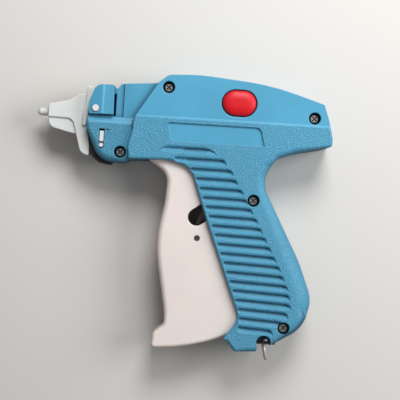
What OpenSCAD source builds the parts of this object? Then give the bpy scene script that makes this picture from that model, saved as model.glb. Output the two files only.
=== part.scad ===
// Garment tag attacher, lying on its right side with the nose towards -X.
// X runs along the needle, Y towards the top of the tool, Z across it.
// The origin is the trigger's pivot axis in the plane the tool rests on.

/* [Housing] */
// Half of the body's thickness, from the joint between the halves to one side
body_half = 14; // [12:0.5:16]
// Half of the nose's thickness
nose_half = 11; // [9.5:0.5:12]
// Thickness of the moulded walls
wall = 2.4; // [1.8:0.1:3]
// Depth of the smooth upper side below the grained lower side
crease_drop = 0.7; // [0.2:0.1:0.8]
// Depth of the upper nose below the lower nose
nose_drop = 1.4; // [0.8:0.1:2]
// Depth of the lever's recess below the lower nose
lever_recess = 2.4; // [1.6:0.1:3]
// Depth of the label recess
label_depth = 1; // [0.3:0.1:1.1]

/* [Grip ribs] */
// Distance between two grooves of the grip
groove_pitch = 4.74; // [4:0.02:6]
// Depth of a groove
groove_depth = 1.3; // [0.6:0.1:1.5]
// Width of a groove at the surface
groove_width = 2.6; // [1.5:0.1:3]
// Number of grooves in the grip
groove_count = 20; // [8:1:20]

/* [Screws] */
// Radius of the counterbores
counterbore_radius = 3.1; // [2.8:0.05:3.4]
// Radius of a screw head
screw_head_radius = 2.75; // [2.4:0.05:2.8]
// Height of a screw head
screw_head_height = 2; // [1.5:0.1:2.5]
// Radius of a screw shank
screw_shank_radius = 1.25; // [1:0.05:1.5]
// Depth of the screw heads below the surface round them
screw_sink = 2.4; // [1.5:0.1:4]
// Length of a screw below its head
screw_length = 14; // [12:0.5:15]

/* [Trigger] */
// Half of the trigger's width
trigger_half = 10.4; // [9:0.2:10.6]
// Thickness of the trigger's cheeks
trigger_cheek = 3; // [2:0.2:4]
// Thickness of the trigger's front wall
trigger_front = 3.6; // [2.6:0.2:5]
// Radius of the arc along the trigger's lower end
trigger_reach = 105; // [100:0.5:106]
// Radius of the trigger's hub
trigger_hub_radius = 6; // [4:0.25:6.2]
// Radius of the trigger's pivot pin
pivot_pin_radius = 2; // [1.5:0.1:2.5]
// Squeeze angle of the trigger
squeeze_angle = 18; // [14:0.5:18]
// Radius of the slot's end in the trigger
trigger_slot_radius = 4.5; // [4.3:0.1:5]

/* [Drive] */
// Radius of the pin between trigger and lever
link_pin_radius = 1.55; // [1.2:0.05:1.8]
// Radius of the lever's pivot pin
lever_pin_radius = 1.75; // [1.4:0.05:2]
// Radius of the lever's hub
lever_hub_radius = 5.4; // [4.5:0.1:5.6]
// Thickness of the lever's arms
lever_thickness = 4; // [3:0.2:5]
// Length of the lever's upper arm
lever_arm = 46; // [44:0.5:47]
// Radius of the lever's rounded upper end
lever_tip_radius = 3; // [2.4:0.1:3.2]
// Swing of the lever over the whole squeeze
lever_swing = 40; // [36:1:40]
// Half of the carriage's width
carriage_half = 5.4; // [4.4:0.2:5.8]
// Radius of the push rod behind its thin tip
rod_radius = 1.2; // [1:0.05:1.4]
// Radius of the push rod's thin tip
rod_tip_radius = 0.55; // [0.4:0.05:0.6]
// Radius of the return spring's coil
spring_radius = 2.6; // [2:0.1:3]
// Radius of the return spring's wire
spring_wire = 0.4; // [0.3:0.05:0.6]

/* [Needle] */
// Radius of the needle's tube
needle_radius = 1.1; // [0.9:0.05:1.2]
// Radius of the needle's bore
needle_bore = 0.75; // [0.7:0.05:0.8]
// Radius of the needle base
base_radius = 2.2; // [2:0.1:2.4]
// Radius of the needle base's spigot in front of the nose
spigot_radius = 1.85; // [1.6:0.05:1.9]
// Radius of the needle cap's tip
cap_tip_radius = 2.15; // [2:0.05:2.4]
// Half of the thickness of the needle cap's plate
cap_half = 4.5; // [4:0.25:5]
// Half of the width of the needle cap's flange
cap_flange_half = 6; // [5:0.25:10]
// Depth of the needle cap's gusset below its plate
cap_web_drop = 1.1; // [0.6:0.1:2]

/* [Nose] */
// Radius of the feed wheel
feed_wheel_radius = 3.7; // [3.2:0.1:3.8]
// Number of teeth of the feed wheel
feed_teeth = 12; // [8:1:14]
// Radius of the feed wheel's axle
axle_radius = 0.9; // [0.7:0.05:1.2]
// Radius of the lock lever's shaft
lock_shaft_radius = 1.75; // [1.5:0.05:2]
// Thickness of the lock lever
lock_thickness = 2.6; // [2:0.1:3.4]
// Travel of the index tab
index_travel = 0.8; // [0.4:0.1:0.8]
// Half of the thickness of the black guide
guide_half = 6; // [4:0.5:6]

/* [Button] */
// Length of the button
button_length = 17.6; // [16:0.2:18]
// Width of the button
button_width = 13.2; // [12:0.2:13.6]
// Gap around the button
button_gap = 0.45; // [0.35:0.05:0.6]
// Travel of the button
button_travel = 2; // [1:0.2:2.2]
// Radius of the button's stem
stem_radius = 1.4; // [1.2:0.05:1.6]

/* [Ring] */
// Mean radius of the hang ring
ring_radius = 5.2; // [4.8:0.1:5.4]
// Radius of the hang ring's wire
ring_wire = 0.75; // [0.6:0.05:0.9]
// Radius of the bar that the ring hangs on
ring_bar_radius = 0.9; // [0.8:0.05:1]

/* [Fits] */
// Radial clearance of a running fit
running = 0.05; // [0.02:0.01:0.1]
// Gap between pieces that move past each other
apart = 0.35; // [0.3:0.05:0.5]

/* [Hidden] */

mid = body_half;
boss_top = body_half - 1.8; // the bosses and posts end below the deepest groove
bore_top = body_half - 2.4; // blind end of the pins' bores
lock_low = nose_half - nose_drop + 0.6; // underside of the lock lever, clear of the bevel it turns over
needle_y = 16;
bevel_y = 11;
// Screws: x, y, height of the surface round the head above the joint plane.
screws = [
    [4.1, 31.7, body_half - crease_drop], [81.1, 20.1, body_half - crease_drop],
    [-19.5, -3.5, nose_half], [51.8, -24.7, body_half], [71.6, -90.1, body_half]];
function screw_seat(s) = s[2] - screw_sink - screw_head_height;
lever_pivot = [32.4, -26.4];
link_pin = [23.6, -46.1];
lock_pin = [-33.35, 18.65];
wheel_axis = [-29.6, 5];
button_centre = [41.4, 25.6];
anchor = [78.8, 13.5];
ring_bar_at = [62.3, -99.9];
notch = [61.7, -98.2, 3.8];
drive_ratio = lever_swing / squeeze_angle;
lever_rest = atan2(link_pin[0] - lever_pivot[0], lever_pivot[1] - link_pin[1]);
lever_tip = lever_pivot + lever_arm * [-sin(lever_rest), cos(lever_rest)];
stroke = lever_arm * (sin(-lever_rest) - sin(-lever_rest - lever_swing));
carriage_slot = lever_tip_radius + apart + 0.2;

// Corners of outlines: x, y, corner radius, edge radius; anticlockwise.
BODY = [
    [-14, 13.8, 2, 1.8], [-13.3, 9.5, 5, 0.8], [-15.6, 0, 8, 0.8], [-15, -6.9, 1, 1.5],
    [7, -6.1, 9, 1.5], [18, -9.5, 9, 1.9], [28.3, -37.5, 60, 1.9], [41.8, -71, 30, 1.9],
    [48.2, -86.6, 9, 1.9], [40.4, -97.6, 0.7, 0.8], [42.8, -98.6, 2, 1.5],
    [46.5, -103.9, 1.8, 2], [58, -103.2, 2, 3], [66, -99.2, 2, 3], [81.1, -91.1, 19, 6],
    [86.4, -75.6, 17, 8.5], [78, -54.9, 60, 8.5], [55.2, -13.8, 14, 5], [62.9, -1.8, 8, 3],
    [72, 1.6, 14, 3], [91.1, 6.1, 1.5, 1.2], [91.1, 10, 4, 1.2], [88.6, 20, 10, 1.2],
    [85.8, 27.6, 0.8, 1.2], [58, 36, 130, 1.3], [20, 39.2, 90, 1.3], [3.9, 38.3, 6, 1.3],
    [-1.4, 33.9, 1, 1.6]];
NOSE = [
    [-37.5, 15, 1, 2], [-38.4, 9.5, 8, 2], [-31, -8.8, 11, 4], [-17.5, -8.8, 6, 3],
    [-12, -5.6, 2, 2], [4, -3, 1, 1], [4, 30, 1, 1], [2.6, 34.2, 0.6, 0.5],
    [-20.8, 32.3, 1.5, 0.8], [-22.9, 29.4, 0.6, 0.8], [-25, 31.6, 1, 0.8],
    [-33, 31, 6, 1], [-37, 20, 10, 2]];
TRIGGER = [
    [-7, -4.5, 2.5, 1.2], [6.3, -13.8, 9, 2.6], [5.6, -28, 30, 2.8], [1.6, -50, 60, 2.8],
    [8.4, -84, 40, 2.4], [9.2, -92.2, 4.5, 1.8], [3.4, -97, 3.6, 1.6], [2.7, -105.1, 2, 1.5]];
TRIGGER_REAR = [
    [50.5, -92, 3, 1], [43.6, -70, 20, 1], [31.5, -38, 40, 1], [24, -18, 40, 1],
    [14, 0, 6, 1], [4, 6.6, 3, 1], [-6, 6.2, 4, 1]];
GUIDE = [
    [-36.4, 3, 1, 0.4], [-36.3, -4.6, 7, 0.4], [-31, -9.9, 7, 0.4], [-24.2, -10.1, 1, 0.4],
    [-24.2, -5.5, 1, 0.4], [-31, -4, 5, 0.4], [-33.2, 3, 1, 0.4]];
LOCK = [
    [-36.8, 15.6, 0.6, 0.5], [-24, 15.9, 0.4, 0.5], [-24.4, 31.3, 1.2, 0.5],
    [-33.6, 31.2, 5, 0.5], [-37.2, 21.5, 9, 0.5]];
CAP_PLATE = [
    [-59.2, 13.3, 0.4, 0.4], [-46.2, 13, 4, 0.4], [-43.9, 4.6, 6, 0.4],
    [-41.2, -4.6, 4, 0.4], [-36.3, -6.6, 1, 0.4], [-36.6, 1, 6, 0.4], [-38.7, 10, 3, 0.4],
    [-38.6, 26.3, 0.5, 0.4], [-43.6, 26.3, 3, 0.4], [-48.6, 22.7, 8, 0.4],
    [-59.2, 20.1, 0.6, 0.4]];
CAP_WEB = [
    [-59.1, 8.2, 4.5, 0.5], [-50, 6, 8, 0.5], [-42, 4.4, 1, 0.5], [-42, 14, 1, 0.5],
    [-59.1, 14, 0.3, 0.5]];
CAP_FLANGE = [
    [-40.7, 9.6, 0.9, 0.4], [-38.9, 9.6, 0.5, 0.4], [-37.9, 15, 4, 0.5],
    [-37.5, 20, 9, 0.5], [-35.3, 26, 9, 0.5], [-35.3, 30.7, 0.6, 0.5],
    [-39, 30.5, 0.4, 0.5], [-39.4, 22, 6, 0.5], [-40.8, 16, 4, 0.5]];
LABEL = [[6.9, 3.6, 3, 0.2], [55.8, 3.7, 0.4, 0.2], [53.2, 13.3, 3, 0.2], [4.8, 13.3, 0.4, 0.2]];

function flat(p) = [p[0], p[1]];
function unit(v) = v / norm(v);

// Points of one rounded corner, moved inwards by inset; step is the arc's angular step.
function corner(before, c, after, inset, step) =
    let (u = unit(flat(before) - flat(c)), v = unit(flat(after) - flat(c)))
    let (side = u[1] * v[0] - u[0] * v[1] > 0 ? 1 : -1)
    let (half = acos(max(-1, min(1, u * v))) / 2, along = unit(u + v))
    let (r = side > 0 ? max(c[2] - inset, min(c[2], 0.3)) : c[2] + inset)
    let (p = flat(c) + along * side * inset / sin(half), m = p + along * r / sin(half))
    let (s = p + u * r / tan(half) - m, e = p + v * r / tan(half) - m)
    let (a = atan2(s[1], s[0]), b = atan2(e[1], e[0]))
    let (turn = (b - a + 540) % 360 - 180, n = max(1, round((180 - 2 * half) / step)))
    [for (i = [0 : n]) m + r * [cos(a + turn * i / n), sin(a + turn * i / n)]];

function outline(c, inset = 0, step = 15) =
    [for (i = [0 : len(c) - 1])
        each corner(c[(i + len(c) - 1) % len(c)], c[i], c[(i + 1) % len(c)], inset, step)];

// One closed loop of a rounded edge at angle t, for a top at height h.
function edge_loop(c, h, t, step) =
    [for (i = [0 : len(c) - 1])
        let (e = c[i][3])
        each [for (p = corner(c[(i + len(c) - 1) % len(c)], c[i], c[(i + 1) % len(c)],
            e * (1 - cos(t)), step)) [p[0], p[1], h > 0 ? h - e * (1 - sin(t)) : h + e * (1 - sin(t))]]];

function arc_points(r, a, b, n) = [for (i = [0 : n]) r * [cos(a + (b - a) * i / n), sin(a + (b - a) * i / n)]];

function side_of(a, b, c) = (b[0] - a[0]) * (c[1] - a[1]) - (b[1] - a[1]) * (c[0] - a[0]);
function within(p, a, b, c) = side_of(a, b, p) >= 0 && side_of(b, c, p) >= 0 && side_of(c, a, p) >= 0;
function is_ear(loop, left, k) =
    let (n = len(left), i = left[(k + n - 1) % n], j = left[k], m = left[(k + 1) % n])
    side_of(loop[i], loop[j], loop[m]) > 1e-7
    && len([for (q = left) if (q != i && q != j && q != m && within(loop[q], loop[i], loop[j], loop[m])) 1]) == 0;
function find_ear(loop, left, k, tries) =
    tries == 0 || is_ear(loop, left, k) ? k : find_ear(loop, left, (k + 1) % len(left), tries - 1);

// Triangles of a flat loop of points, made by cutting off one corner at a time.
function ears(loop, left, start = 0, done = []) =
    len(left) == 3 ? concat(done, [left])
    : let (n = len(left), k = find_ear(loop, left, start % n, n))
    ears(loop, [for (i = [0 : n - 1]) if (i != k) left[i]], k + 1,
        concat(done, [[left[(k + n - 1) % n], left[k], left[(k + 1) % n]]]));

// A closed solid through loops of points, one above the other, with flat ends.
module skin(loops) {
    n = len(loops[0]);
    rings = len(loops);
    last = (rings - 1) * n;
    order = [for (i = [0 : n - 1]) i];
    polyhedron(
        points = [for (l = loops) each l],
        faces = concat(
            ears(loops[0], order),
            [for (k = [0 : rings - 2]) for (i = [0 : n - 1])
                let (j = (i + 1) % n) each [
                    [k * n + i, (k + 1) * n + i, (k + 1) * n + j],
                    [k * n + i, (k + 1) * n + j, k * n + j]]],
            [for (t = ears(loops[rings - 1], order)) [last + t[2], last + t[1], last + t[0]]]));
}

// A plate from height low to h, with its upper edges rounded.
module dome(c, h, low = 0, step = 15, turns = 3) {
    base = [for (p = edge_loop(c, h, 0, step)) [p[0], p[1], low]];
    skin(concat([base], [for (k = [0 : turns]) edge_loop(c, h, 90 * k / turns, step)]));
}

// A plate around the joint plane with both edges rounded.
module pillow(c, h, step = 15, turns = 2) {
    skin(concat(
        [for (k = [turns : -1 : 0]) edge_loop(c, -h, 90 * k / turns, step)],
        [for (k = [0 : turns]) edge_loop(c, h, 90 * k / turns, step)]));
}

module plate(points, low, high) {
    translate([0, 0, low])
        linear_extrude(high - low)
            polygon(points);
}

module pin(at, r, low, high, steps = 40) {
    translate([at[0], at[1], low])
        cylinder(r = r, h = high - low, $fn = steps);
}

module box(low, high) {
    translate(low)
        cube(high - low);
}

module stadium(length, width, low, high) {
    for (s = [-1, 1])
        pin(button_centre + [s * (length - width) / 2, 0], width / 2, low, high);
    box([button_centre[0] - (length - width) / 2, button_centre[1] - width / 2, low],
        [button_centre[0] + (length - width) / 2, button_centre[1] + width / 2, high]);
}

// ---- housing: heights are measured from the joint plane ----

module outer_half() {
    difference() {
        dome(NOSE, nose_half);
        // upper nose, bevelled down from the grained lower nose
        translate([-45, 0, 0])
            rotate([90, 0, 90])
                linear_extrude(50)
                    polygon([[bevel_y, nose_half], [bevel_y, nose_half + 1], [45, nose_half + 1],
                        [45, nose_half - nose_drop], [14.7, nose_half - nose_drop]]);
        box([-45, 14.9, nose_half - lever_recess], [-19, 45, nose_half + 1]);
    }
    difference() {
        dome(BODY, body_half);
        translate([-20, 0, 0])
            rotate([90, 0, 90])
                linear_extrude(120)
                    polygon([[15.4, body_half], [15.4, body_half + 1], [50, body_half + 1],
                        [50, body_half - crease_drop], [16.6, body_half - crease_drop]]);
    }
}

// BODY without the upper corner of its short rear edge, which a wide inset would turn over.
function pocket_corners() = [for (i = [0 : len(BODY) - 1]) if (i != 21) BODY[i]];

module pocket() {
    intersection() {
        union() {
            plate(outline(BODY, wall, 30), -1, body_half - wall - 3.2);
            // narrower where the grip's back is rounded
            plate(outline(pocket_corners(), 5, 30), -1, body_half - wall);
            // open front that the trigger moves through
            plate([[-7.2, 4], [-7.2, -9], [8, -10], [12, -14], [20, -30], [34, -66], [40, -84],
                [36, -95], [30, -112], [60, -112], [60, -80], [50, -50], [30, 4]],
                -1, body_half - wall);
        }
        union() {
            cylinder(r = trigger_reach + 0.9, h = 60, center = true, $fn = 120);
            box([-50, -60, -30], [120, 60, 30]);
        }
    }
    plate(outline(NOSE, wall, 30), -1, nose_half - lever_recess - 2);
    intersection() {
        plate(outline(NOSE, wall, 30), -1, nose_half - wall);
        box([-60, -20, -2], [10, bevel_y - 0.5, 20]);
    }
}

// Grooves: y of the steep upper wall, and the ends of the floor at that height.
function groove_y(k) = 0.5 - groove_pitch * k - 1.3 * (1 - pow(0.6, k));
function groove_left(y) =
    lookup(y, [[-91, 47.6], [-86, 47.8], [-81.4, 46.9], [-76.7, 45.3], [-24.5, 25], [-14.8, 20.9],
        [-9.9, 17.6], [-4.8, 9.2], [0.5, 5]]);
function groove_right(y) =
    lookup(y, [[-91, 65], [-86.2, 70.3], [-81.4, 72.6], [-76.7, 73.8], [-71.9, 73], [-62.5, 69.4],
        [-53, 64.4], [-24.5, 48.1], [-9.9, 39.3], [-4.8, 35.3], [0.5, 28]]);

module grooves() {
    for (k = [0 : groove_count - 1]) {
        y = groove_y(k);
        translate([groove_left(y), y, body_half])
            rotate([90, 0, 90 - 0.15 * k])
                linear_extrude(groove_right(y) - groove_left(y))
                    polygon([[-groove_width, 0], [-groove_width - 0.2, 0.4], [1.8, 0.4], [1.5, 0],
                        [0.5, -0.4], [-0.1, -groove_depth], [-0.7, -groove_depth]]);
    }
}

module label() {
    plate(outline(LABEL, 0, 20), body_half - label_depth, body_half + 1);
}

// Ribs and bosses that both halves share.
module inside_half() {
    pin([0, 0], 3.8, trigger_half + 0.3, boss_top);
    pin(lever_pivot, 3.6, trigger_half - trigger_cheek - 0.1, boss_top);
    pin(anchor, 3, 6, boss_top);
    box([9, 6.2, carriage_half - 1.5], [62, 8.25, boss_top]);
    box([6, 21.75, carriage_half - 1.5], [62, 22.95, boss_top]);
    box([-4.4, 11.2, 8], [2.4, 20.8, boss_top]);
    box([-29.8, 12, 0], [-26.5, 20, nose_half - lever_recess - 1.5]);
}

// Bores and openings that both halves share; the ring's notch ends at height notch_high.
module bores_half(notch_high) {
    pin([0, 0], pivot_pin_radius + running, 0, bore_top);
    pin(lever_pivot, lever_pin_radius + running, 0, bore_top);
    pin(anchor, 1.25 + running, 0, bore_top);
    pin([notch[0], notch[1]], notch[2], -1, notch_high);
    box([notch[0] - 3.4, -106, -1], [notch[0] + 3.4, notch[1], notch_high]);
    // seat of the needle base
    translate([-42, needle_y, 0])
        rotate([0, 90, 0])
            cylinder(r = base_radius + running, h = 20, $fn = 40);
    // seat of the ring's bar
    translate([ring_bar_at[0] - 6.5, ring_bar_at[1], 0])
        rotate([0, 90, 0])
            cylinder(r = ring_bar_radius + running, h = 13, $fn = 32);
    plate(outline(GUIDE, -0.05, 20), -1, guide_half + 0.05);
}

module housing_left() {
    color("SteelBlue")
        translate([0, 0, mid])
            difference() {
                union() {
                    difference() {
                        outer_half();
                        pocket();
                        grooves();
                        label();
                    }
                    inside_half();
                    for (s = [screws[0], screws[1], screws[3]])
                        pin(s, counterbore_radius + 1.4, 0, boss_top);
                    pin(screws[2], counterbore_radius + 1.2, 0, nose_half - 1);
                    stadium(button_length + 2 * button_gap + 2.4, button_width + 2 * button_gap + 2.4,
                        6.4, boss_top);
                    // guide of the index link
                    box([-14.2, 4.5, nose_half - 5.8], [-12.4, 10.4, nose_half - wall + 0.4]);
                }
                bores_half(body_half + 1);
                for (s = screws) {
                    pin(s, counterbore_radius, screw_seat(s), body_half + 1);
                    pin(s, screw_shank_radius + 0.3, -1, screw_seat(s) + 1);
                }
                stadium(button_length + 2 * button_gap, button_width + 2 * button_gap, 7.6, body_half + 1);
                pin(button_centre, stem_radius + running, 6, 8, 32);
                // index window
                box([-31, -0.8, 4], [-28.2, 8.1, nose_half + 1]);
                pin([-29.6, -0.8], 1.4, 4, nose_half + 1, 32);
                box([-28.4, 7, nose_half - 0.5], [-25.7, 8.1, nose_half + 1]);
                // shaft of the lock lever
                pin(lock_pin, lock_shaft_radius + running, 0, nose_half + 1);
                // slot for the tag strip
                box([-24.3, 15, -1], [-23.1, 27, nose_half + 1]);
                // link's window in its guide
                box([-15, 6.5, nose_half - 5.3], [-12, 9.1, nose_half - 3.9]);
            }
}

module housing_right() {
    color("SteelBlue")
        translate([0, 0, mid])
            mirror([0, 0, 1])
                difference() {
                    union() {
                        difference() {
                            outer_half();
                            pocket();
                            grooves();
                            label();
                        }
                        inside_half();
                        for (s = [screws[0], screws[1], screws[3]])
                            pin(s, 3.4, 0, boss_top);
                        pin(screws[2], 3.4, 0, nose_half - 1);
                        pin(wheel_axis, 2.4, nose_half - 5.6, nose_half - 1);
                    }
                    bores_half(body_half - wall);
                    for (s = screws)
                        pin(s, screw_shank_radius + running, -1, screw_length - screw_seat(s) + 0.5);
                    pin(wheel_axis, axle_radius + running, nose_half - 6, nose_half - 1);
                }
}

module housing_screws() {
    color("Silver")
        for (s = screws)
            translate([s[0], s[1], mid + screw_seat(s)])
                difference() {
                    union() {
                        translate([0, 0, -screw_length])
                            cylinder(r = screw_shank_radius, h = screw_length + 0.2, $fn = 32);
                        rotate_extrude($fn = 40)
                            polygon([[0, 0], [screw_head_radius, 0], [screw_head_radius, screw_head_height * 0.5],
                                [screw_head_radius * 0.75, screw_head_height * 0.9], [0, screw_head_height]]);
                    }
                    for (a = [45, 135])
                        rotate([0, 0, a])
                            box([-1.6, -0.35, screw_head_height - 1.2], [1.6, 0.35, screw_head_height + 1]);
                }
}

// ---- trigger ----

module trigger() {
    lower = [for (p = arc_points(trigger_reach, -86.5, -64, 5)) [p[0], p[1], 0, 1.5]];
    shape = concat(TRIGGER, lower, TRIGGER_REAR);
    slot_at = trigger_slot_centre();
    color("Linen")
        translate([0, 0, mid])
            difference() {
                union() {
                    difference() {
                        pillow(shape_without_rounding(shape), trigger_half);
                        // channel between the cheeks, open at the rear
                        difference() {
                            plate(channel_outline(), -trigger_half + trigger_cheek, trigger_half - trigger_cheek);
                            pin([0, 0], trigger_hub_radius - 0.2, -20, 20);
                        }
                    }
                    // horn that pushes the index link
                    box([-1.9, 3, nose_half - 5.6], [0.6, 8.4, nose_half - 3.6]);
                }
                pin([0, 0], pivot_pin_radius + running, -20, 20);
                pin(link_pin, link_pin_radius, -20, 20);
                // slot that clears the lever's pivot boss, open at the rear
                trigger_slot(slot_at);
            }
}

function trigger_slot_centre() =
    let (r = norm(lever_pivot), a = atan2(lever_pivot[1], lever_pivot[0]) - squeeze_angle)
    r * [cos(a), sin(a)];
function shape_without_rounding(s) = [for (p = s) [p[0], p[1], max(p[2], 0.4), p[3]]];
function channel_outline() = concat(
    [for (i = [1 : 4]) each corner(TRIGGER[i - 1], TRIGGER[i], TRIGGER[i + 1], trigger_front, 30)],
    arc_points(trigger_reach - trigger_front, -83, -50, 6),
    [[40, 10], [8, 16], [2, 6], [-2, 0]]);

module trigger_slot(at) {
    r = norm(at);
    a = atan2(at[1], at[0]);
    w = trigger_slot_radius;
    pin(at, w, -20, 20);
    plate(concat(arc_points(r + w + 0.4, a, a + 26, 4), arc_points(r - w, a + 26, a, 4)), -20, 20);
}

module trigger_pivot_pin() {
    color("Silver")
        pin([0, 0], pivot_pin_radius, mid - bore_top + apart, mid + bore_top - apart);
}

module trigger_link_pin() {
    color("DimGray")
        pin(link_pin, link_pin_radius, mid - trigger_half + 0.3, mid + trigger_half - 0.3);
}

// ---- drive ----

function turned(p, a) = [p[0] * cos(a) - p[1] * sin(a), p[0] * sin(a) + p[1] * cos(a)];
// Place of the link pin in the resting lever when the trigger is squeezed by t.
function pin_in_lever(t) = lever_pivot + turned(turned(link_pin, t) - lever_pivot, -drive_ratio * t);
function circle_through(a, b, c) =
    let (d = 2 * (a[0] * (b[1] - c[1]) + b[0] * (c[1] - a[1]) + c[0] * (a[1] - b[1])))
    [((a * a) * (b[1] - c[1]) + (b * b) * (c[1] - a[1]) + (c * c) * (a[1] - b[1])) / d,
     ((a * a) * (c[0] - b[0]) + (b * b) * (a[0] - c[0]) + (c * c) * (b[0] - a[0])) / d];

module drive_lever() {
    h = lever_thickness / 2;
    hub_half = trigger_half - trigger_cheek - 0.5;
    first = pin_in_lever(0);
    last = pin_in_lever(squeeze_angle);
    middle = circle_through(first, pin_in_lever(squeeze_angle / 2), last);
    r = norm(first - middle);
    a = atan2(first[1] - middle[1], first[0] - middle[0]);
    b = atan2(last[1] - middle[1], last[0] - middle[0]);
    sweep = (b - a + 540) % 360 - 180;
    w = link_pin_radius + 0.25;
    u = unit(lever_tip - lever_pivot);
    v = [u[1], -u[0]];
    color("DimGray")
        translate([0, 0, mid])
            difference() {
                union() {
                    pin(lever_pivot, lever_hub_radius, -hub_half, hub_half);
                    // upper arm
                    plate([lever_pivot + 4 * v, lever_tip + 2 * v, lever_tip - 2 * v, lever_pivot - 4 * v], -h, h);
                    pin(lever_tip, lever_tip_radius, -h, h);
                    // lower arm around the cam slot
                    plate([lever_pivot - 5.2 * v, lever_pivot + 5.2 * v, last + [3.4, 1.4], first + [4.6, 0.5],
                        first + [2.2, -3.3], first + [-1.4, -3.3], first + [-3.1, 0.4],
                        pin_in_lever(squeeze_angle / 2) + [-2.9, 1]], -h, h);
                }
                pin(lever_pivot, lever_pin_radius + running, -20, 20);
                pin(first, w, -20, 20);
                pin(last, w, -20, 20);
                translate([middle[0], middle[1], 0])
                    plate(concat(arc_points(r + w, a, a + sweep, 8), arc_points(r - w, a + sweep, a, 8)), -20, 20);
            }
}

module lever_pivot_pin() {
    color("Silver")
        pin(lever_pivot, lever_pin_radius, mid - bore_top + apart, mid + bore_top - apart);
}

module slide_carriage() {
    x = lever_tip[0];
    left = x - carriage_slot;
    right = x + carriage_slot;
    flare = lever_tip[1] - 0.6;
    low = needle_y - 8;
    rest_lean = (flare - low) * tan(-lever_rest);
    end_lean = (flare - low) * tan(lever_rest + lever_swing) + 0.1;
    color("WhiteSmoke")
        translate([0, 0, mid])
            difference() {
                box([left - 6, low + 0.6, -carriage_half], [right + 5, needle_y + 5.4, carriage_half]);
                // slot for the lever's end, flared below for the lever's tilt
                plate([[left, flare + 15], [left, flare], [left - rest_lean, low], [right + end_lean, low],
                    [right, flare], [right, flare + 15]],
                    -lever_thickness / 2 - 0.4, lever_thickness / 2 + 0.4);
                translate([left - 10, needle_y, 0])
                    rotate([0, 90, 0])
                        cylinder(r = rod_radius, h = 8.5, $fn = 32);
                // hook hole of the spring
                box([right + 2.2, anchor[1] - 3.2, -1.2], [right + 6, anchor[1] + 3.2, 1.2]);
                pin([right + 3.4, anchor[1]], 0.8, -4, 4, 24);
            }
}

module push_rod() {
    back = lever_tip[0] - carriage_slot - 1.6;
    color("Silver")
        translate([0, needle_y, mid])
            rotate([0, 90, 0]) {
                translate([0, 0, 12])
                    cylinder(r = rod_radius, h = back - 12, $fn = 32);
                translate([0, 0, -21])
                    cylinder(r = rod_tip_radius, h = 34, $fn = 24);
            }
}

module rod_guide() {
    color("Gray")
        difference() {
            box([-4, 11.6, mid - 8], [2, 20.4, mid + 8]);
            translate([-5, needle_y, mid])
                rotate([0, 90, 0])
                    cylinder(r = rod_radius + running + 0.03, h = 8, $fn = 32);
        }
}

module return_spring() {
    start = lever_tip[0] + carriage_slot + 3.4;
    span = anchor[0] - start;
    coils = 11;
    first = start + 3;
    pitch = (span - 6) / coils;
    color("Silver")
        translate([0, anchor[1], mid]) {
            rotate([0, 90, 0])
                rotate_extrude($fn = 36)
                    polygon(concat(
                        [for (i = [0 : coils]) each [
                            [spring_radius - spring_wire * 0.7, first + i * pitch - pitch * 0.5],
                            [spring_radius + spring_wire, first + i * pitch - pitch * 0.06],
                            [spring_radius + spring_wire, first + i * pitch + pitch * 0.06]]],
                        [[spring_radius - 2 * spring_wire, first + coils * pitch],
                         [spring_radius - 2 * spring_wire, first - pitch * 0.5]]));
            // end hooks
            for (e = [[start, first - pitch * 0.4], [first + coils * pitch - 0.2, anchor[0] - 0.35]])
                translate([e[0], 0, 0])
                    rotate([0, 90, 0])
                        cylinder(r = spring_wire, h = e[1] - e[0], $fn = 16);
            for (e = [first - pitch * 0.4, first + coils * pitch - 0.2])
                translate([e, 0, 0])
                    rotate([90, 0, 0])
                        cylinder(r = spring_wire, h = 2 * (spring_radius - spring_wire), center = true, $fn = 16);
        }
}

module spring_anchor_pin() {
    color("Silver")
        difference() {
            pin(anchor, 1.25, mid - bore_top + apart, mid + bore_top - apart, 32);
            pin([anchor[0] - 1.2, anchor[1]], 0.9, mid - 0.9, mid + 0.9, 24);
        }
}

// ---- needle and nose ----

module along_needle(low, high, r, steps = 32) {
    translate([low, needle_y, mid])
        rotate([0, 90, 0])
            cylinder(r = r, h = high - low, $fn = steps);
}

module needle() {
    color("Silver")
        difference() {
            along_needle(-57, -28, needle_radius);
            along_needle(-60, -20, needle_bore, 24);
            // slot for the tag's thread
            box([-60, needle_y, mid - 0.25], [-42, needle_y + 3, mid + 0.25]);
            // bevelled point
            translate([-57, needle_y, mid])
                rotate([0, 0, -28])
                    box([-6, -6, -3], [0, 6, 3]);
        }
}

module needle_base() {
    color("SeaGreen")
        difference() {
            union() {
                along_needle(-35.3, -26.6, base_radius, 40);
                along_needle(-41, -35, spigot_radius, 32);
                along_needle(-31.9, -30, base_radius + 0.6, 40);
            }
            along_needle(-42, -20, needle_radius + 0.02, 32);
        }
}

module needle_cap() {
    color("White")
        difference() {
            union() {
                translate([0, 0, mid]) {
                    pillow(CAP_PLATE, cap_half);
                    pillow(CAP_WEB, cap_half - cap_web_drop);
                    pillow(CAP_FLANGE, cap_flange_half);
                }
                translate([-65.4, needle_y, mid])
                    rotate([0, 90, 0])
                        rotate_extrude($fn = 40)
                            polygon(concat([[0, 0]],
                                [for (a = [15 : 15 : 90])
                                    [cap_tip_radius * sin(a), cap_tip_radius * (1 - cos(a))]],
                                [[cap_tip_radius, 10], [0, 10]]));
            }
            along_needle(-61, -40, needle_radius + 0.4, 32);
            along_needle(-41.5, -36, spigot_radius + running, 32);
        }
}

module knife_blade() {
    color("Silver")
        difference() {
            box([-26.45, 12.4, mid - 4.6], [-25.75, 19.6, mid + 4.6]);
            along_needle(-30, -20, rod_radius + 0.35, 32);
            // ground edge
            box([-27, 11.4, mid - 5], [-25.9, 12.9, mid + 5]);
        }
}

module nose_guide() {
    color("Black")
        translate([0, 0, mid])
            pillow(GUIDE, guide_half, 20, 1);
}

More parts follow.
